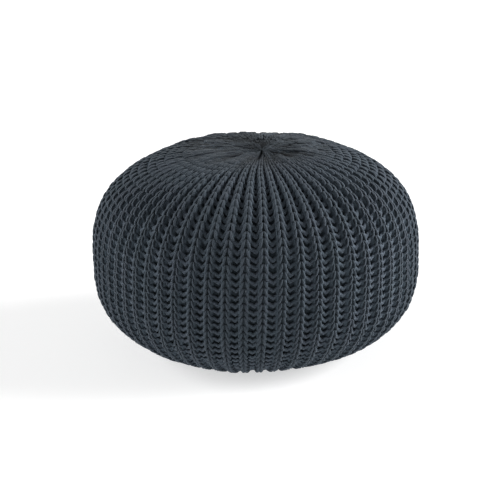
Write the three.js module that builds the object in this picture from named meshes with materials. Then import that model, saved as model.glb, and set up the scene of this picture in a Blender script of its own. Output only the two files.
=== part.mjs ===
// A round floor pouf in thick rib knit: one filled solid with a domed crown that is drawn in at the
// top centre, sides that tuck in under the belly, and a flat base. Sixty knitted ribs run from the
// crown to the base, slightly slanted and unevenly spaced, with a wide valley between each two.
// Millimetres, +Z up. The origin is the centre of the base, and -Y is the front.

import {
  Curve,
  Group,
  LatheGeometry,
  MathUtils,
  Mesh,
  MeshStandardMaterial,
  Vector2,
  Vector3,
} from "three";
import { mergeVertices } from "three/addons/utils/BufferGeometryUtils.js";

// Driving dimensions
const DIAMETER = 500;
const HEIGHT = 300;
const BELLY_HEIGHT = 124;
const BASE_RADIUS = 138;

// Fullness of the outline: 2 is an ellipse, and more is squarer.
const CROWN_FULLNESS = { across: 1.92, up: 3.4 };
const TUCK_FULLNESS = { across: 3.3, up: 2.25 };

// The draw-in at the top centre
const GATHER_DEPTH = 12;
const GATHER_REACH = 104;
const PINCH_DEPTH = 3;
const PINCH_REACH = 22;

// The gathered top centre lies off the middle, towards +X, and the ribs round it run in to it.
const CENTRE_STRAY = 12.5;
const CENTRE_REACH = 70;

// Knitted ribs
const RIB_COUNT = 60;
const VALLEY_DEPTH = 6.5;
const VALLEY_STARTS = 40;
const VALLEY_FULL = 130;
const VALLEY_LATER_AT_BACK = 80;
const VALLEY_FADES_FROM = 30;
const SLANT = MathUtils.degToRad(-2.6);
const FRONT_VALLEY = MathUtils.degToRad(0.7);

// One rib across, from the middle of a valley: each point's share of the valley's depth.
const RIB_SECTION = [1, 0, 0];

// How far ribs stray sideways from even spacing, in degrees, by waves round the pouf.
const SPACING_WAVES = [
  { waves: 1, degrees: 3.1, peak: -108 },
  { waves: 2, degrees: 1.8, peak: 57 },
  { waves: 3, degrees: 0.4, peak: 54 },
];

// How far the filling swells the cover out of round, in millimetres.
const SWELL_WAVES = [
  { waves: 2, swell: 1.2, peak: 20 },
  { waves: 3, swell: 0.9, peak: 75 },
  { waves: 5, swell: 0.6, peak: -10 },
];

// Folds that the drawing-in leaves in the crown, each a shallow furrow out from the top centre: its
// bearing and half width in degrees, and its reach and depth in millimetres.
const CROWN_FOLDS = [
  { bearing: -3, reach: 55, depth: 6.0, width: 7 },
  { bearing: 52, reach: 70, depth: 6.5, width: 7 },
  { bearing: 108, reach: 52, depth: 2.0, width: 12 },
  { bearing: 195, reach: 38, depth: 2.0, width: 9 },
  { bearing: 240, reach: 46, depth: 2.5, width: 9 },
  { bearing: 308, reach: 60, depth: 3.5, width: 8 },
];

const FOLD_STARTS = 12;

const OUTLINE_STEPS = 31;
const OUTLINE_DIVISIONS = 4000;
const MERGE_DISTANCE = 1e-3;

const YARN_COLOUR = 0x2b3134;
const YARN_ROUGHNESS = 0.92;

const RADIUS = DIAMETER / 2;
const COLUMNS = RIB_COUNT * RIB_SECTION.length;

// How far the drawn-in top centre lowers the crown at a radius.
function drawIn(radius) {
  const gather = GATHER_DEPTH * Math.exp(-((radius / GATHER_REACH) ** 2));
  const pinch = PINCH_DEPTH * Math.exp(-((radius / PINCH_REACH) ** 2));
  return gather + pinch;
}

// The outline from the rim of the flat base, out over the belly and up to the top centre.
class PoufOutline extends Curve {
  getPoint(share, target = new Vector2()) {
    return share < 0.5 ? this.tuck(1 - 2 * share, target) : this.crown(2 * share - 1, target);
  }

  // Below the belly: turn 1 is the rim of the base, and 0 is the belly.
  tuck(turn, target) {
    const rim = BASE_RADIUS / RADIUS;
    const drop = (across) => (1 - across ** TUCK_FULLNESS.across) ** (1 / TUCK_FULLNESS.up);
    const fullDrop = drop(rim);
    const across = (1 - (fullDrop * turn) ** TUCK_FULLNESS.up) ** (1 / TUCK_FULLNESS.across);
    return target.set(RADIUS * across, BELLY_HEIGHT * (1 - turn));
  }

  // Above the belly: turn 0 is the belly, and 1 is the top centre.
  crown(turn, target) {
    const angle = (turn * Math.PI) / 2;
    const across = RADIUS * Math.cos(angle) ** (2 / CROWN_FULLNESS.across);
    const rise = (HEIGHT + GATHER_DEPTH - BELLY_HEIGHT) * Math.sin(angle) ** (2 / CROWN_FULLNESS.up);
    return target.set(Math.max(across, 0), BELLY_HEIGHT + rise - drawIn(across));
  }
}

// Rows of the outline at even steps, closed by the centre of the flat base.
function outlineRows() {
  const outline = new PoufOutline();
  outline.arcLengthDivisions = OUTLINE_DIVISIONS;
  const rows = outline.getSpacedPoints(OUTLINE_STEPS);
  rows[0].y = 0;
  rows.at(-1).x = 0;
  return [new Vector2(0, 0), ...rows];
}

// Sum of waves round the pouf at a bearing, with each wave's size under the given name.
function waveSum(waves, size, bearing) {
  return waves.reduce(
    (sum, wave) => sum + wave[size] * Math.cos(wave.waves * (bearing - MathUtils.degToRad(wave.peak))),
    0,
  );
}

// Depth of the valleys between ribs: none at the rim of the base and near the top centre, where the
// knit is packed flat, over a wider patch behind than in front.
function valleyDepth(point, bearing) {
  const later = VALLEY_LATER_AT_BACK * ((1 - Math.cos(bearing)) / 2) ** 2;
  const onCrown = MathUtils.smoothstep(point.x, VALLEY_STARTS + later, VALLEY_FULL + later);
  const belowTop = point.y > BELLY_HEIGHT ? onCrown : 1;
  return VALLEY_DEPTH * belowTop * MathUtils.smoothstep(point.y, 0, VALLEY_FADES_FROM);
}

// Depth of the crown's folds at a bearing in degrees and a radius.
function foldDepth(bearing, radius) {
  return CROWN_FOLDS.reduce((sum, fold) => {
    const away = MathUtils.euclideanModulo(bearing - fold.bearing + 180, 360) - 180;
    const across = Math.exp(-((away / fold.width) ** 2));
    const along = Math.exp(-((radius / fold.reach) ** 4)) * MathUtils.smoothstep(radius, 0, FOLD_STARTS);
    return sum + fold.depth * across * along;
  }, 0);
}

// Unit vector out of the outline at a row, from its neighbours.
function outward(rows, row) {
  const along = rows[row + 1].clone().sub(rows[row - 1]).normalize();
  return new Vector2(along.y, -along.x);
}

// Distance along the outline from each row to the belly, positive below it, in radii of the pouf.
function distanceBelowBelly(rows) {
  const travelled = [0];
  for (let row = 1; row < rows.length; row += 1) {
    travelled.push(travelled[row - 1] + rows[row].distanceTo(rows[row - 1]));
  }
  const belly = rows.findIndex((point) => point.x === Math.max(...rows.map((each) => each.x)));
  return travelled.map((distance) => (travelled[belly] - distance) / RADIUS);
}

// The row's point of the outline at a bearing, swelled, folded and sunk into a valley by its share.
function reliefPoint(rows, row, bearing, valleyShare) {
  const point = rows[row].clone();
  const onBaseOrTopCentre = row < 2 || row === rows.length - 1;
  if (onBaseOrTopCentre) return point;
  const swell = waveSum(SWELL_WAVES, "swell", bearing) * (point.x / RADIUS);
  const fold = point.y > BELLY_HEIGHT ? foldDepth(MathUtils.radToDeg(bearing), point.x) : 0;
  const valley = valleyShare * valleyDepth(point, bearing);
  return point.addScaledVector(outward(rows, row), swell - fold - valley);
}

// How far the stray top centre draws a row of the crown sideways.
function centreShift(point) {
  return point.y > BELLY_HEIGHT ? CENTRE_STRAY * Math.exp(-((point.x / CENTRE_REACH) ** 2)) : 0;
}

// Moves each vertex of the turned outline to its place on the ribs.
function raiseRibs(geometry, rows) {
  const below = distanceBelowBelly(rows);
  const positions = geometry.getAttribute("position");
  for (let vertex = 0; vertex < positions.count; vertex += 1) {
    const row = vertex % rows.length;
    const column = Math.floor(vertex / rows.length) % COLUMNS;
    const even = (column / COLUMNS) * 2 * Math.PI + FRONT_VALLEY;
    const stray = MathUtils.degToRad(waveSum(SPACING_WAVES, "degrees", even));
    const bearing = even + stray + SLANT * below[row];
    const point = reliefPoint(rows, row, bearing, RIB_SECTION[column % RIB_SECTION.length]);
    const sideways = point.x * Math.sin(bearing) + centreShift(rows[row]);
    positions.setXYZ(vertex, sideways, point.y, point.x * Math.cos(bearing));
  }
}

// Slides the solid sideways, so that the middle of its base is the middle of its whole width.
function centreOverBase(geometry) {
  geometry.computeBoundingBox();
  const middle = geometry.boundingBox.getCenter(new Vector3());
  geometry.translate(-middle.x, -middle.y, 0);
}

function knittedCoverGeometry() {
  const rows = outlineRows();
  const turned = new LatheGeometry(rows, COLUMNS);
  raiseRibs(turned, rows);
  turned.deleteAttribute("normal");
  turned.deleteAttribute("uv");
  const closed = mergeVertices(turned, MERGE_DISTANCE);
  closed.rotateX(Math.PI / 2);
  centreOverBase(closed);
  closed.computeVertexNormals();
  return closed;
}

function knittedYarn() {
  return new MeshStandardMaterial({ color: YARN_COLOUR, roughness: YARN_ROUGHNESS, metalness: 0 });
}

function knittedCover() {
  const cover = new Mesh(knittedCoverGeometry(), knittedYarn());
  cover.name = "knitted_cover";
  return cover;
}

const pouf = new Group();
pouf.add(knittedCover());

export default pouf;
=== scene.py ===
"""A round floor pouf in thick rib knit, charcoal cotton cord over a firm filling.

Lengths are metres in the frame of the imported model: +Z up, the origin at the centre of the base and
-Y to the front. A place on the cover is given by its distance from the top centre along the outline
and by its bearing round the pouf, 0 at the front and growing towards +X.
"""

import math

import bmesh
import bpy
import numpy as np
from mathutils import Matrix, Vector


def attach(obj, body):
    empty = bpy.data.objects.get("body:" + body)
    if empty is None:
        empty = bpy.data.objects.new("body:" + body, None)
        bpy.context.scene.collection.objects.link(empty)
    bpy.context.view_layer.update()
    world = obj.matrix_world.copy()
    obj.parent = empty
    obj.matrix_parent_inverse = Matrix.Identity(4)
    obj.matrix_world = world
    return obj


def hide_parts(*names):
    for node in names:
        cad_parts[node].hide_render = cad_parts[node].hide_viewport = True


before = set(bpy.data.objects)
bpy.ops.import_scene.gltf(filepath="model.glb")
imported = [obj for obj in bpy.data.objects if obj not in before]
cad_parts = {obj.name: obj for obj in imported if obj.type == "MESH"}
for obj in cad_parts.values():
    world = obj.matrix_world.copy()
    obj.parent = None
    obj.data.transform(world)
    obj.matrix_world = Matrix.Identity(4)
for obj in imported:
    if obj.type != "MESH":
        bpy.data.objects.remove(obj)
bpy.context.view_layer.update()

# The outline, as in the part: the belly's radius, heights, fullness and the drawn-in top centre
RADIUS = 0.250
HEIGHT = 0.300
BELLY_HEIGHT = 0.124
BASE_RADIUS = 0.138
CROWN_ACROSS, CROWN_UP = 1.92, 3.4
TUCK_ACROSS, TUCK_UP = 3.3, 2.25
GATHER_DEPTH, GATHER_REACH = 0.012, 0.104
PINCH_DEPTH, PINCH_REACH = 0.003, 0.022

# Ribs and how they stray
RIB_COUNT = 60
RIB_ANGLE = 2 * math.pi / RIB_COUNT
SLANT = math.radians(-2.6)
FRONT_VALLEY = math.radians(0.7)
SPACING_WAVES = (
    # waves round the pouf, degrees, bearing of the peak
    (1, 3.1, -108),
    (2, 1.8, 57),
    (3, 0.4, 54),
)
SWELL_WAVES = (
    # waves round the pouf, metres, bearing of the peak
    (2, 0.0012, 20),
    (3, 0.0009, 75),
    (5, 0.0006, -10),
)
SWELL_FADES_FROM = 0.030

# Folds that the drawing-in leaves in the crown, and how abruptly each ends at its reach
CROWN_FOLDS = (
    # bearing, reach, depth, half width in degrees, and how much painted shade darkens the cord in it
    (-3, 0.055, 0.0060, 7, 0.3),
    (52, 0.070, 0.0065, 7, 1.6),
    (108, 0.052, 0.0020, 12, 0.2),
    (195, 0.038, 0.0020, 9, 0.2),
    (240, 0.046, 0.0025, 9, 0.2),
    (308, 0.060, 0.0035, 8, 0.5),
)
FOLD_STARTS = 0.012
FOLD_END_POWER = 4

# The gathered top centre lies off the middle, towards +X, and the ribs run in to it.
CENTRE_STRAY, CENTRE_REACH = 0.0125, 0.070

# The cord's thickness, where the first and last courses lie, and how near the top centre and the middle
# of the base the cord comes
CORD = 0.0035
FIRST_COURSE = 0.006
LAST_COURSE_GAP = 0.020
NEAREST_TOP_CENTRE, NEAREST_BASE_CENTRE = 0.0015, 0.003
COURSE_PITCH = (
    # distance from the top centre, pitch of the courses there
    (0.00, 0.0090),
    (0.05, 0.0130),
    (0.14, 0.0142),
    (0.19, 0.0144),
    (0.24, 0.0123),
    (0.295, 0.0112),
    (0.35, 0.0106),
    (0.40, 0.0122),
    (0.70, 0.0124),
)
# Half a stitch of one course, from the head on the ridge to the middle of the valley: across in
# shares of a rib, down in courses, sunk below the cover's outline in metres, the cord's thickness there
# as a share of its usual one, and how pale its colour is painted there, as painted light and shade:
# paler on the arms in the shaded valley, darker on the legs of the ridge.
HALF_STITCH = (
    (0.00, -0.74, 0.0062, 0.80, 0.2),
    (0.05, -0.58, 0.0038, 0.85, 0.4),
    (0.09, -0.32, 0.0021, 0.90, 0.6),
    (0.13, -0.02, 0.0020, 0.95, 0.6),
    (0.165, 0.22, 0.0024, 1.00, 0.7),
    (0.19, 0.37, 0.0036, 1.15, 0.8),
    (0.207, 0.44, 0.0050, 1.40, 1.1),
    (0.227, 0.48, 0.0064, 1.55, 1.4),
    (0.25, 0.52, 0.0074, 1.55, 1.7),
    (0.30, 0.58, 0.0078, 1.45, 1.8),
    (0.36, 0.69, 0.0079, 1.50, 1.8),
    (0.43, 0.83, 0.0079, 1.60, 1.7),
    (0.50, 0.97, 0.0078, 1.70, 1.6),
)
# The course pitch that the stitch is drawn for: where courses are further apart, the cord is wider.
STITCH_HEIGHT = 0.011

# Places across a rib from its ridge, in shares of a rib: the middle of the valley, a leg of a stitch and
# the furthest it moves out where ribs are narrow, and where the arms begin to lean
HALF_RIB = 0.5
LEG_ACROSS, LEG_FURTHEST = 0.13, 0.25
LEAN_FROM = 0.2

# How far a leg lies from the ridge where ribs are narrow, in cord thicknesses
LEGS_APART = 0.56

# The cord's greatest half width as a share of a rib, its greatest depth as a share of the usual one,
# and how far its middle stays above the floor, in half depths
WIDEST = 0.275
DEEPEST = 1.15
FLOOR_CLEARANCE = 1.02

# Half a rib of the inside, from the middle of a valley: across in shares of a rib, sunk below the
# cover's outline in metres where the ribs are open, and how pale it is painted there: painted light on
# the flanks, which lie in shade between the stitches, and dark painted shade elsewhere.
INNER_SECTION = (
    (0.00, 0.0108, 0.0),
    (0.17, 0.0106, 0.0),
    (0.21, 0.0094, 0.7),
    (0.242, 0.0062, 1.0),
    (0.276, 0.0040, 0.7),
    (0.32, 0.0036, 0.2),
    (0.50, 0.0050, 0.0),
)
INNER_ROWS = 70

# The knit is flat near the top centre, where the drawing-in packs it, over a wider patch behind than in
# front, and has full valleys further out. The valleys fade again towards the flat base.
PACKED_WITHIN, OPEN_FROM, LATER_AT_BACK = 0.050, 0.140, 0.080
VALLEYS_FADE_FROM = 0.022

# Where it is packed: the cord's thickness as a share of its usual one, how far it lies sunk, the share
# of a stitch's relief that is left, and how far the inside lies sunk
PACKED_THICK = 1.05
PACKED_SUNK, PACKED_RELIEF = 0.0022, 0.22
INNER_PACKED_SUNK = 0.0044

# Painted shade: how much darker the cord is painted where it is packed on the crown, and more where it
# lies low in a bunch of the gather
PACKED_SHADE = 1.4
BUNCH_SHADE, BUNCH_RANGE = 0.8, 1.2

# Painted light: how much paler the cord is painted near the floor, as if lit from it, and below which
# height
PAINTED_FLOOR_LIGHT, PAINTED_FLOOR_LIGHT_BELOW = 1.0, 0.080


def smoothstep(x, low, high):
    """From 0 at low to 1 at high, level at both ends."""
    t = np.clip((x - low) / (high - low), 0, 1)
    return t * t * (3 - 2 * t)


def wave_sum(waves, bearing):
    return sum(size * np.cos(count * (bearing - math.radians(peak))) for count, size, peak in waves)


def draw_in(radius):
    """How far the drawn-in top centre lowers the crown at a radius."""
    gather = GATHER_DEPTH * np.exp(-((radius / GATHER_REACH) ** 2))
    return gather + PINCH_DEPTH * np.exp(-((radius / PINCH_REACH) ** 2))


class Outline:
    """Half the pouf's outline from the top centre to the middle of the base, by distance along it."""

    STEPS = 3000
    SMOOTHED = 61

    def __init__(self):
        turn = np.linspace(math.pi / 2, 0, self.STEPS)
        across = RADIUS * np.clip(np.cos(turn), 0, 1) ** (2 / CROWN_ACROSS)
        rise = (HEIGHT + GATHER_DEPTH - BELLY_HEIGHT) * np.sin(turn) ** (2 / CROWN_UP)
        crown = np.stack([across, BELLY_HEIGHT + rise - draw_in(across)], 1)
        share = np.linspace(1, BASE_RADIUS / RADIUS, self.STEPS) ** TUCK_ACROSS
        drop = (1 - share) ** (1 / TUCK_UP)
        tuck_radius = RADIUS * share ** (1 / TUCK_ACROSS)
        tuck = np.stack([tuck_radius, BELLY_HEIGHT * (1 - drop / drop[-1])], 1)
        base = np.stack([np.linspace(BASE_RADIUS, 0, self.STEPS), np.zeros(self.STEPS)], 1)
        points = np.concatenate([crown, tuck[1:], base[1:]])
        length = np.concatenate([[0], np.cumsum(np.hypot(*np.diff(points, axis=0).T))])
        self.length = length[-1]
        self.belly = length[self.STEPS - 1]
        self.rim = length[2 * self.STEPS - 2]
        self.at = np.linspace(0, self.length, self.STEPS)
        self.radius = np.interp(self.at, length, points[:, 0])
        self.height = np.interp(self.at, length, points[:, 1])
        self.out, self.up = self.normals()

    def normals(self):
        """The outline's outward direction, smoothed over the rim of the base."""
        window = np.hanning(self.SMOOTHED)
        window /= window.sum()
        slopes = []
        for values in (self.radius, self.height):
            slope = np.pad(np.gradient(values, self.at), self.SMOOTHED // 2, mode="edge")
            slopes.append(np.convolve(slope, window, "valid"))
        d_radius, d_height = slopes
        size = np.hypot(d_radius, d_height)
        return -d_height / size, d_radius / size

    def read(self, at):
        """Radius, height and outward direction at a distance."""
        columns = (self.radius, self.height, self.out, self.up)
        return (np.interp(at, self.at, values) for values in columns)


outline = Outline()


def folds(bearing, radius):
    """Depth of the crown's folds at a place, and the painted shade that darkens the cord in them."""
    depth, shade = np.zeros_like(radius), np.zeros_like(radius)
    for centre, reach, deep, width, painted_shade_share in CROWN_FOLDS:
        away = (np.degrees(bearing) - centre + 180) % 360 - 180
        along = np.exp(-((radius / reach) ** FOLD_END_POWER))
        inside = np.exp(-((away / width) ** 2)) * along
        depth += deep * inside
        shade += painted_shade_share * inside
    begun = smoothstep(radius, 0, FOLD_STARTS)
    return depth * begun, shade * begun


def bearing_of(rib, at):
    """Bearing of a place across the ribs, counted in ribs from the front valley, at a distance."""
    even = rib * RIB_ANGLE + FRONT_VALLEY
    below_belly = (at - outline.belly) / RADIUS
    return even + np.radians(wave_sum(SPACING_WAVES, even)) + SLANT * below_belly


def how_open(at, bearing):
    """From 0, where the knit is packed flat, to 1, where its valleys are full."""
    radius, height, _, _ = outline.read(at)
    later = LATER_AT_BACK * ((1 - np.cos(bearing)) / 2) ** 2
    onto_crown = smoothstep(radius, PACKED_WITHIN + later, OPEN_FROM + later)
    return np.where(at < outline.belly, onto_crown, smoothstep(height, 0, VALLEYS_FADE_FROM))


def cover_point(at, bearing, sunk):
    """Points and outward directions on the cover, sunk below its outline."""
    radius, height, out, up = outline.read(at)
    above_base = smoothstep(height, 0, SWELL_FADES_FROM)
    swell = wave_sum(SWELL_WAVES, bearing) * radius / RADIUS * above_base
    fold = np.where(at < outline.belly, folds(bearing, radius)[0], 0)
    move = swell - fold - sunk
    ring = np.stack([np.sin(bearing), -np.cos(bearing)], -1)
    reach = np.maximum(radius + move * out, 0.0)
    points = np.concatenate([ring * reach[..., None], (height + move * up)[..., None]], -1)
    off_middle = CENTRE_STRAY * np.exp(-((radius / CENTRE_REACH) ** 2))
    points[..., 0] += np.where(at < outline.belly, off_middle, 0)
    normals = np.concatenate([ring * out[..., None], up[..., None]], -1)
    return points, normals


def new_mesh(name, points, quads):
    mesh = bpy.data.meshes.new(name)
    mesh.vertices.add(len(points))
    mesh.vertices.foreach_set("co", points.astype(np.float32).ravel())
    mesh.loops.add(quads.size)
    mesh.loops.foreach_set("vertex_index", quads.astype(np.int32).ravel())
    mesh.polygons.add(len(quads))
    mesh.polygons.foreach_set("loop_start", np.arange(0, quads.size, 4, dtype=np.int32))
    mesh.polygons.foreach_set("use_smooth", np.ones(len(quads), bool))
    mesh.update(calc_edges=True)
    mesh.validate()
    thing = bpy.data.objects.new(name, mesh)
    bpy.context.scene.collection.objects.link(thing)
    return thing


def add_uv(thing, name, corners):
    layer = thing.data.uv_layers.new(name=name, do_init=False)
    layer.uv.foreach_set("vector", corners.astype(np.float32).ravel())


def add_point_value(thing, name, values):
    layer = thing.data.attributes.new(name, "FLOAT", "POINT")
    layer.data.foreach_set("value", values.astype(np.float32).ravel())


# Smooth random fields over the cover, the same on each run
SEED = 60
rng = np.random.default_rng(SEED)


def ring_noise(rows, columns, spread_rows, spread_columns):
    """Random values in rows round the pouf, smoothed and of unit spread, seamless round it."""
    values = rng.normal(size=(rows, columns))
    apart = np.abs(np.subtract.outer(np.arange(rows), np.arange(rows)))
    down = np.exp(-0.5 * (apart / spread_rows) ** 2)
    steps = np.arange(columns)
    steps = np.minimum(steps, columns - steps)
    across = np.fft.rfft(np.exp(-0.5 * (steps / spread_columns) ** 2))
    values = np.fft.irfft(np.fft.rfft(down @ values, axis=1) * across, columns, axis=1)
    return values / values.std()


def read_ring(row, place):
    """A row's random values at places counted in columns, joined smoothly."""
    low = np.floor(place).astype(int)
    part = smoothstep(place - low, 0, 1)
    count = len(row)
    return row[low % count] * (1 - part) + row[(low + 1) % count] * part


def course_places():
    """Distances of the courses from the top centre, down to near the middle of the base."""
    at, places = FIRST_COURSE, []
    table = np.array(COURSE_PITCH)
    while at < outline.length - LAST_COURSE_GAP:
        places.append(at)
        at += float(np.interp(at, table[:, 0], table[:, 1]))
    return np.array(places)


courses = course_places()
pitches = np.gradient(courses)

# How unevenly the stitches lie: each field has a value on each ridge and in each valley of a course.
HALF_RIBS = 2 * RIB_COUNT
NOISE_FIELDS = (
    # name, and over how many courses and half ribs it is smoothed
    ("sideways", 4.0, 0.6),
    ("lean", 5.0, 0.6),
    ("down", 0.4, 0.8),
    ("sink", 0.6, 0.6),
    ("girth", 0.4, 3.0),
    ("bunch", 0.8, 1.0),
)
STITCH_NOISE = {
    name: ring_noise(len(courses), HALF_RIBS, *spreads) for name, *spreads in NOISE_FIELDS
}

# How far stitches stray: sideways and leaning in shares of a rib, down in courses, sunk and bunched in
# metres, and in girth as a share of it
SIDEWAYS_STRAY = 0.022
LEAN_STRAY = 0.035
DOWN_STRAY = 0.075
SINK_STRAY = 0.0004
GIRTH_STRAY = 0.04
BUNCH_STRAY = 0.0012


def hermite(knots, values, at):
    """A smooth curve through values at knots."""
    slope = np.gradient(values, knots)
    place = np.clip(np.searchsorted(knots, at, side="right") - 1, 0, len(knots) - 2)
    width = knots[place + 1] - knots[place]
    t = (at - knots[place]) / width
    start = (1 + 2 * t) * (1 - t) ** 2 * values[place] + t * (1 - t) ** 2 * width * slope[place]
    end = t * t * (3 - 2 * t) * values[place + 1] + t * t * (t - 1) * width * slope[place + 1]
    return start + end


def stitch_shape(steps):
    """One whole stitch from valley to valley, in even steps along the cord, without its last point."""
    half = np.array(HALF_STITCH)
    left = half[::-1] * (-1, 1, 1, 1, 1)
    whole = np.concatenate([left, half[1:]])
    scaled = whole[:, :3] * (RIB_ANGLE * RADIUS, STITCH_HEIGHT, 1)
    along = np.concatenate([[0], np.cumsum(np.linalg.norm(np.diff(scaled, axis=0), axis=1))])
    next_rib = (1, 0, 0, 0, 0)
    wrapped = np.concatenate([whole[-3:-1] - next_rib, whole, whole[1:3] + next_rib])
    knots = np.concatenate([along[-3:-1] - along[-1], along, along[1:3] + along[-1]])
    fine = np.linspace(0, along[-1], steps, endpoint=False)
    return np.stack([hermite(knots, wrapped[:, k], fine) for k in range(whole.shape[1])], 1)


def spread_legs(across, rib_width):
    """Moves the two legs of a stitch apart where ribs are narrow, so that they lie side by side."""
    leg = np.clip(LEGS_APART * CORD / rib_width, LEG_ACROSS, LEG_FURTHEST)
    size = np.abs(across)
    outer = leg + (size - LEG_ACROSS) / (HALF_RIB - LEG_ACROSS) * (HALF_RIB - leg)
    return np.sign(across) * np.where(size < LEG_ACROSS, size * leg / LEG_ACROSS, outer)


def course_cord(course, steps):
    """The cord's centre line, outward directions, half widths, half depths, and the painted light and
    shade of its colour, in a course.
    """
    shape = stitch_shape(steps)
    across, down, sunk, thick, stitch_painted_light = (np.tile(column, RIB_COUNT) for column in shape.T)
    middle = np.repeat(np.arange(RIB_COUNT) + HALF_RIB, steps)
    place = 2 * (middle + across)
    stray = {name: read_ring(field[course], place) for name, field in STITCH_NOISE.items()}
    at = courses[course] + pitches[course] * (down + DOWN_STRAY * stray["down"])
    at = np.clip(at, NEAREST_TOP_CENTRE, outline.length - NEAREST_BASE_CENTRE)
    radius = np.interp(at, outline.at, outline.radius)
    rib_width = RIB_ANGLE * radius
    opened = how_open(at, bearing_of(middle + across, at))
    packed = 1 - opened
    relief = PACKED_RELIEF + (1 - PACKED_RELIEF) * opened
    level = PACKED_SUNK + (sunk - PACKED_SUNK) * relief
    level = level + SINK_STRAY * stray["sink"] + BUNCH_STRAY * packed * stray["bunch"]
    lean = LEAN_STRAY * stray["lean"] * smoothstep(np.abs(across), LEAN_FROM, HALF_RIB)
    aside = (SIDEWAYS_STRAY * stray["sideways"] + lean) * opened
    placed = middle + spread_legs(across, rib_width) + aside
    points, normals = cover_point(at, bearing_of(placed, at), level)
    girth = CORD / 2 * (1 + GIRTH_STRAY * stray["girth"])
    thick = PACKED_THICK + (thick - PACKED_THICK) * opened
    deep = girth * np.minimum(thick, DEEPEST)
    points[:, 2] = np.maximum(points[:, 2], deep * FLOOR_CLEARANCE)
    loose = max(pitches[course] / STITCH_HEIGHT, 1.0)
    wide = np.minimum(girth * thick * loose, WIDEST * rib_width)
    # Painted shade on the packed crown, deeper where the cord lies low in a bunch
    bunched = smoothstep(stray["bunch"], -BUNCH_RANGE, BUNCH_RANGE)
    packed_painted_shade = BUNCH_SHADE * bunched + PACKED_SHADE
    # Painted shade in the crown's folds joins the packed crown's painted shade
    shade = packed * packed_painted_shade + folds(bearing_of(placed, at), radius)[1]
    # Painted light, paler towards the floor
    floor_painted_light = PAINTED_FLOOR_LIGHT * (1 - smoothstep(points[:, 2], 0, PAINTED_FLOOR_LIGHT_BELOW))
    # The stitch's painted light and shade, less the painted shade on the crown above the belly, plus the
    # painted light near the floor below it
    painted_light_and_shade = stitch_painted_light + np.where(at < outline.belly, -shade, floor_painted_light)
    return points, normals, wide, deep, painted_light_and_shade


def cord_rings(points, normals, wide, deep, sides):
    """Points round the cord at each step of its centre line, and the steps' lengths."""
    tangent = np.roll(points, -1, 0) - np.roll(points, 1, 0)
    step = np.linalg.norm(np.roll(points, -1, 0) - points, axis=1)
    tangent /= np.linalg.norm(tangent, axis=1)[:, None]
    across = np.cross(tangent, normals)
    across /= np.linalg.norm(across, axis=1)[:, None]
    out = np.cross(across, tangent)
    turn = np.arange(sides) * 2 * math.pi / sides
    rings = (
        points[:, None]
        + across[:, None] * (np.cos(turn)[None, :] * wide[:, None])[..., None]
        + out[:, None] * (np.sin(turn)[None, :] * deep[:, None])[..., None]
    )
    return rings, step


def ring_quads(count, sides, first):
    """Faces of a closed tube of rings, and each face corner's ring and side."""
    ring, side = np.meshgrid(np.arange(count), np.arange(sides), indexing="ij")
    corners = [(ring, side), (ring, side + 1), (ring + 1, side + 1), (ring + 1, side)]
    vertices = [first + (r % count) * sides + s % sides for r, s in corners]
    quads = np.stack(vertices, -1).reshape(-1, 4)
    at_ring = np.stack([r for r, s in corners], -1).reshape(-1, 4)
    at_side = np.stack([s for r, s in corners], -1).reshape(-1, 4)
    return quads, at_ring, at_side


# Each course's strip of the bake map is cut into this many rows, with a margin between them.
BAKE_ROWS = 4
BAKE_MARGIN = 0.10

# Sides of the cord, and how far along the cord map each course begins after the one before
CORD_SIDES = 6
COURSE_ALONG_MAP = 2.0


def bake_strip(at_ring, at_side, count, sides, place, places):
    """Map corners of one course in the bake map: its length in rows, one above the other."""
    per_row = count // BAKE_ROWS
    row = np.minimum(at_ring.min(axis=1, keepdims=True) // per_row, BAKE_ROWS - 1)
    u = (at_ring - row * per_row) / per_row
    v = BAKE_MARGIN + (1 - 2 * BAKE_MARGIN) * at_side / sides
    return np.stack([u, (place * BAKE_ROWS + row + v) / (places * BAKE_ROWS)], -1)


def knit_band(name, first, last, steps):
    """One joined mesh of a band of courses, each a closed loop of cord round the pouf."""
    points, quads, cord_uv, bake_uv, painted_lights_and_shades = [], [], [], [], []
    total = 0
    for course in range(first, last):
        centre, normals, wide, deep, painted_light_and_shade = course_cord(course, steps)
        rings, step = cord_rings(centre, normals, wide, deep, CORD_SIDES)
        count = len(rings)
        faces, at_ring, at_side = ring_quads(count, CORD_SIDES, total)
        along = np.concatenate([[0], np.cumsum(step)])
        points.append(rings.reshape(-1, 3))
        quads.append(faces)
        on_map = along[at_ring] + course * COURSE_ALONG_MAP
        cord_uv.append(np.stack([on_map, at_side / CORD_SIDES], -1))
        strip = bake_strip(at_ring, at_side, count, CORD_SIDES, course - first, last - first)
        bake_uv.append(strip)
        painted_lights_and_shades.append(np.repeat(painted_light_and_shade, CORD_SIDES))
        total += count * CORD_SIDES
    band = new_mesh(name, np.concatenate(points), np.concatenate(quads))
    add_uv(band, "OFBake", np.concatenate(bake_uv).reshape(-1, 2))
    add_uv(band, "cord", np.concatenate(cord_uv).reshape(-1, 2))
    # Each point's painted light and shade, which the materials read to make the colour paler or darker
    add_point_value(band, "painted_light_and_shade", np.concatenate(painted_lights_and_shades))
    return band


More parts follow.
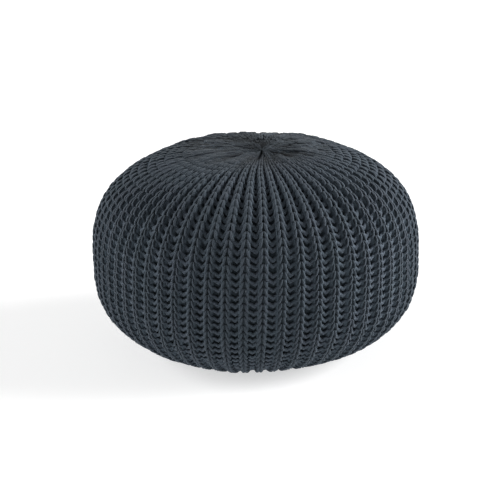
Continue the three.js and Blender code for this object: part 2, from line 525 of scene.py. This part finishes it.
def inner_cover():
    """The inside of the cover, seen between the stitches: a closed form with its own ribs, coloured dark
    as painted shade in the gaps and painted lighter on its shaded flanks.
    """
    half = np.array(INNER_SECTION)
    section = np.concatenate([half, (half * (-1, 1, 1) + (1, 0, 0))[-2:0:-1]])
    at = np.linspace(0.0, outline.length, INNER_ROWS + 1)[1:-1]
    rib = (np.arange(RIB_COUNT)[:, None] + section[:, 0]).ravel()
    at_grid, rib_grid = np.meshgrid(at, rib, indexing="ij")
    bearing = bearing_of(rib_grid, at_grid)
    opened = how_open(at_grid, bearing)
    sunk = INNER_PACKED_SUNK + opened * (np.tile(section[:, 1], RIB_COUNT) - INNER_PACKED_SUNK)
    grid, _ = cover_point(at_grid, bearing, sunk)
    count = len(rib)
    row, column = np.meshgrid(np.arange(INNER_ROWS - 2), np.arange(count), indexing="ij")
    after = (column + 1) % count
    this, below = row * count, (row + 1) * count
    corners = [this + column, below + column, below + after, this + after]
    thing = new_mesh("knit_inner", grid.reshape(-1, 3), np.stack(corners, -1).reshape(-1, 4))
    # The inside's painted light on its flanks, and none elsewhere
    add_point_value(thing, "painted_light_and_shade", np.tile(section[:, 2], RIB_COUNT * (INNER_ROWS - 1)))
    close_ends(thing)
    return thing


def close_ends(thing):
    """Caps the two open ends of a form."""
    form = bmesh.new()
    form.from_mesh(thing.data)
    edges = [edge for edge in form.edges if edge.is_boundary]
    bmesh.ops.holes_fill(form, edges=edges)
    bmesh.ops.triangulate(form, faces=[face for face in form.faces if len(face.verts) > 4])
    bmesh.ops.recalc_face_normals(form, faces=form.faces)
    form.to_mesh(thing.data)
    form.free()


class Nodes:
    """Short ways to add and join a material's nodes."""

    def __init__(self, name):
        self.material = bpy.data.materials.new(name)
        self.material.use_nodes = True
        self.tree = self.material.node_tree
        self.shader = self.tree.nodes["Principled BSDF"]

    def new(self, kind, **inputs):
        node = self.tree.nodes.new("ShaderNode" + kind)
        for name, value in inputs.items():
            self.put(value, node.inputs[name])
        return node

    def put(self, value, socket):
        if isinstance(value, bpy.types.NodeSocket):
            self.tree.links.new(value, socket)
        else:
            socket.default_value = value

    def math(self, kind, *values):
        node = self.tree.nodes.new("ShaderNodeMath")
        node.operation = kind
        for socket, value in zip(node.inputs, values):
            self.put(value, socket)
        return node.outputs[0]

    def noise(self, scale, detail):
        here = self.tree.nodes.new("ShaderNodeTexCoord").outputs["Object"]
        return self.new("TexNoise", Vector=here, Scale=scale, Detail=detail).outputs["Fac"]

    def mix(self, factor, low, high):
        node = self.tree.nodes.new("ShaderNodeMix")
        node.data_type = "RGBA"
        for name, value in (("Factor", factor), ("A", low), ("B", high)):
            self.put(value, node.inputs[name])
        return node.outputs["Result"]

    def scaled(self, colour, share):
        node = self.tree.nodes.new("ShaderNodeVectorMath")
        node.operation = "SCALE"
        self.put(colour, node.inputs[0])
        self.put(share, node.inputs["Scale"])
        return node.outputs[0]


# The cord's twist: its plies, and the length of cord in one turn
PLIES = 3
PLY_LAY = 0.011

# Scale and detail of the noise that stands for fibres, uneven dye and the inside's cloth
FIBRE_NOISE = (900.0, 3.0)
DYE_NOISE = (22.0, 2.0)
INSIDE_NOISE = (400.0, 2.0)

# Colours, and how each share of the shade grows with its cause, from a start. Among them are the cord's
# painted light and shade, the painted shade in the grooves between its plies, and the inside's painted
# shade and painted light.
DARK_DYE = (0.0325, 0.0470, 0.0580, 1)
PALE_DYE = (0.0485, 0.0580, 0.0765, 1)
SHEEN, SHEEN_ROUGHNESS = 0.08, 0.5
SHEEN_TINT = (0.53, 0.61, 0.67, 1)
# The inside's colours: dark painted shade in the gaps between the stitches, and painted light for its
# shaded flanks
INSIDE_PAINTED_SHADE = (0.030, 0.040, 0.049, 1)
INSIDE_PAINTED_LIGHT = (0.070, 0.091, 0.112, 1)
PAINTED_LIGHT_GROWTH, PAINTED_LIGHT_START = 0.32, 0.68
# The ply share is painted shade, darker in the grooves between the plies
PLY_PAINTED_SHADE_GROWTH, PLY_PAINTED_SHADE_START = 0.35, 0.40
FIBRE_GROWTH = 0.7
INSIDE_GROWTH, INSIDE_START = 0.8, 0.6

# The cord's fine relief, by bump: shares of plies and fibres, strength and distance
PLY_HEIGHT, FIBRE_HEIGHT = 0.6, 0.4
BUMP_STRENGTH, BUMP_DISTANCE = 0.5, 0.0006

CORD_ROUGHNESS, CORD_SPECULAR = 0.9, 0.25
INSIDE_ROUGHNESS, INSIDE_SPECULAR = 0.95, 0.1


def cord_material():
    nodes = Nodes("cotton_cord")
    place = nodes.new("UVMap")
    place.uv_map = "cord"
    split = nodes.new("SeparateXYZ", Vector=place.outputs["UV"])
    lays = nodes.math("MULTIPLY", split.outputs["X"], 1 / PLY_LAY)
    turns = nodes.math("ADD", lays, split.outputs["Y"])
    wave = nodes.math("SINE", nodes.math("MULTIPLY", turns, math.pi * PLIES))
    ply = nodes.math("ABSOLUTE", wave)
    fibre = nodes.noise(*FIBRE_NOISE)
    dye = nodes.mix(nodes.noise(*DYE_NOISE), DARK_DYE, PALE_DYE)
    painted_light_and_shade = nodes.new("Attribute")
    painted_light_and_shade.attribute_name = "painted_light_and_shade"
    # Painted light and shade: the colour is made paler or darker by the value painted on each point
    painted_light_factor = nodes.math("MULTIPLY_ADD", painted_light_and_shade.outputs["Fac"], PAINTED_LIGHT_GROWTH, PAINTED_LIGHT_START)
    # Painted shade: the colour is darker in the grooves between the plies
    relief = nodes.math("MULTIPLY_ADD", ply, PLY_PAINTED_SHADE_GROWTH, PLY_PAINTED_SHADE_START)
    texture = nodes.math("MULTIPLY_ADD", fibre, FIBRE_GROWTH, relief)
    shade = nodes.math("MULTIPLY", texture, painted_light_factor)
    nodes.put(nodes.scaled(dye, shade), nodes.shader.inputs["Base Color"])
    ply_height = nodes.math("MULTIPLY", ply, PLY_HEIGHT)
    height = nodes.math("ADD", ply_height, nodes.math("MULTIPLY", fibre, FIBRE_HEIGHT))
    bump = nodes.new("Bump", Strength=BUMP_STRENGTH, Distance=BUMP_DISTANCE, Height=height)
    nodes.put(bump.outputs["Normal"], nodes.shader.inputs["Normal"])
    nodes.put(CORD_ROUGHNESS, nodes.shader.inputs["Roughness"])
    nodes.put(CORD_SPECULAR, nodes.shader.inputs["Specular IOR Level"])
    nodes.put(SHEEN, nodes.shader.inputs["Sheen Weight"])
    nodes.put(SHEEN_ROUGHNESS, nodes.shader.inputs["Sheen Roughness"])
    nodes.put(SHEEN_TINT, nodes.shader.inputs["Sheen Tint"])
    return nodes.material


def inner_material():
    nodes = Nodes("knit_inside_painted_shade")
    painted_light_and_shade = nodes.new("Attribute")
    painted_light_and_shade.attribute_name = "painted_light_and_shade"
    # Painted shade and painted light: dark in the gaps, paler on the flanks
    colour = nodes.mix(painted_light_and_shade.outputs["Fac"], INSIDE_PAINTED_SHADE, INSIDE_PAINTED_LIGHT)
    cloth = nodes.noise(*INSIDE_NOISE)
    shade = nodes.math("MULTIPLY_ADD", cloth, INSIDE_GROWTH, INSIDE_START)
    nodes.put(nodes.scaled(colour, shade), nodes.shader.inputs["Base Color"])
    nodes.put(INSIDE_ROUGHNESS, nodes.shader.inputs["Roughness"])
    nodes.put(INSIDE_SPECULAR, nodes.shader.inputs["Specular IOR Level"])
    return nodes.material


# Bands of courses, each one joined piece
TUCK_PAST_RIM = 0.006
BANDS = (
    # name, distance from the top centre where it ends, steps of the cord in a stitch
    ("knit_crown", 0.165, 21),
    ("knit_shoulder", 0.300, 21),
    ("knit_belly", 0.420, 21),
    ("knit_tuck", outline.rim + TUCK_PAST_RIM, 21),
    ("knit_underside", outline.length, 12),
)


def build_pouf():
    cord = cord_material()
    pieces = []
    first = 0
    for name, end, steps in BANDS:
        last = int(np.searchsorted(courses, end))
        band = knit_band(name, first, last, steps)
        band.data.materials.append(cord)
        pieces.append(band)
        first = last
    inner = inner_cover()
    inner.data.materials.append(inner_material())
    for piece in pieces + [inner]:
        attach(piece, "root")
        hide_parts("knitted_cover")


# The camera, as the photo sees the pouf: its image size, and where the pouf's middle lies in it
IMAGE = 500
MIDDLE_PIXEL = (255.34, 243.02)
CAMERA_ELEVATION = math.radians(19.31)
CAMERA_ROLL = math.radians(1.18)
CAMERA_RADII = 9
CAMERA_DISTANCE = CAMERA_RADII * RADIUS
PIXELS_PER_RADIUS = 163.12
FOCAL_PIXELS = PIXELS_PER_RADIUS * CAMERA_RADII
SENSOR = 36.0
CLIP_START, CLIP_END = 0.05, 60


def make_camera():
    data = bpy.data.cameras.new("camera")
    camera = bpy.data.objects.new("camera", data)
    bpy.context.scene.collection.objects.link(camera)
    data.sensor_width = SENSOR
    data.lens = SENSOR * FOCAL_PIXELS / IMAGE
    data.shift_x = (IMAGE / 2 - MIDDLE_PIXEL[0]) / IMAGE
    data.shift_y = (MIDDLE_PIXEL[1] - IMAGE / 2) / IMAGE
    data.clip_start, data.clip_end = CLIP_START, CLIP_END
    flat, steep = math.cos(CAMERA_ELEVATION), math.sin(CAMERA_ELEVATION)
    ahead = Vector((0, flat, -steep))
    right, up = Vector((1, 0, 0)), Vector((0, steep, flat))
    c, s = math.cos(CAMERA_ROLL), math.sin(CAMERA_ROLL)
    rolled_right, rolled_up = right * c - up * s, right * s + up * c
    turn = Matrix((rolled_right, rolled_up, -ahead)).transposed()
    middle = Vector((0, 0, HEIGHT / 2))
    camera.matrix_world = Matrix.Translation(middle - ahead * CAMERA_DISTANCE) @ turn.to_4x4()
    bpy.context.scene.camera = camera


FLOOR_HALF = 20.0
FLOOR_COLOUR = (0.50, 0.50, 0.50, 1)
FLOOR_GLOW = 0.56
FLOOR_ROUGHNESS = 0.9
WHITE = (1, 1, 1, 1)


def make_floor():
    half = FLOOR_HALF
    corners = np.array([(-half, -half, 0), (half, -half, 0), (half, half, 0), (-half, half, 0)])
    floor = new_mesh("floor", corners, np.array([[0, 1, 2, 3]]))
    nodes = Nodes("pale_floor")
    nodes.put(FLOOR_COLOUR, nodes.shader.inputs["Base Color"])
    nodes.put(WHITE, nodes.shader.inputs["Emission Color"])
    nodes.put(FLOOR_GLOW, nodes.shader.inputs["Emission Strength"])
    nodes.put(FLOOR_ROUGHNESS, nodes.shader.inputs["Roughness"])
    floor.data.materials.append(nodes.material)


SIDE_GLOW, OVERHEAD_GLOW = 0.20, 0.30
SUNS = (
    # name, bearing, elevation, spread in degrees, strength
    ("right_side", 94, 18, 34, 7.4),
    ("left_side", -98, 15, 50, 5.0),
)


def soft_sun(name, bearing, elevation, spread, strength):
    """A broad even light from a bearing round the pouf, 0 at the front."""
    data = bpy.data.lights.new(name, "SUN")
    data.angle = math.radians(spread)
    data.energy = strength
    light = bpy.data.objects.new(name, data)
    flat = math.cos(math.radians(elevation))
    turn = math.radians(bearing)
    up = math.sin(math.radians(elevation))
    towards = Vector((flat * math.sin(turn), -flat * math.cos(turn), up))
    light.rotation_euler = towards.to_track_quat("Z", "Y").to_euler()
    bpy.context.scene.collection.objects.link(light)


def make_world():
    """A white studio all round, brighter overhead than at its sides."""
    world = bpy.data.worlds.new("studio")
    world.use_nodes = True
    tree = world.node_tree
    direction = tree.nodes.new("ShaderNodeTexCoord")
    split = tree.nodes.new("ShaderNodeSeparateXYZ")
    fade = tree.nodes.new("ShaderNodeMapRange")
    fade.inputs["To Min"].default_value = SIDE_GLOW
    fade.inputs["To Max"].default_value = OVERHEAD_GLOW
    tree.links.new(direction.outputs["Generated"], split.inputs[0])
    tree.links.new(split.outputs["Z"], fade.inputs["Value"])
    tree.links.new(fade.outputs["Result"], tree.nodes["Background"].inputs["Strength"])
    tree.nodes["Background"].inputs["Color"].default_value = WHITE
    bpy.context.scene.world = world


def make_light():
    make_world()
    for name, bearing, elevation, spread, strength in SUNS:
        soft_sun(name, bearing, elevation, spread, strength)
    bpy.context.scene.view_settings.view_transform = "Standard"


make_camera()
make_light()
make_floor()
build_pouf()
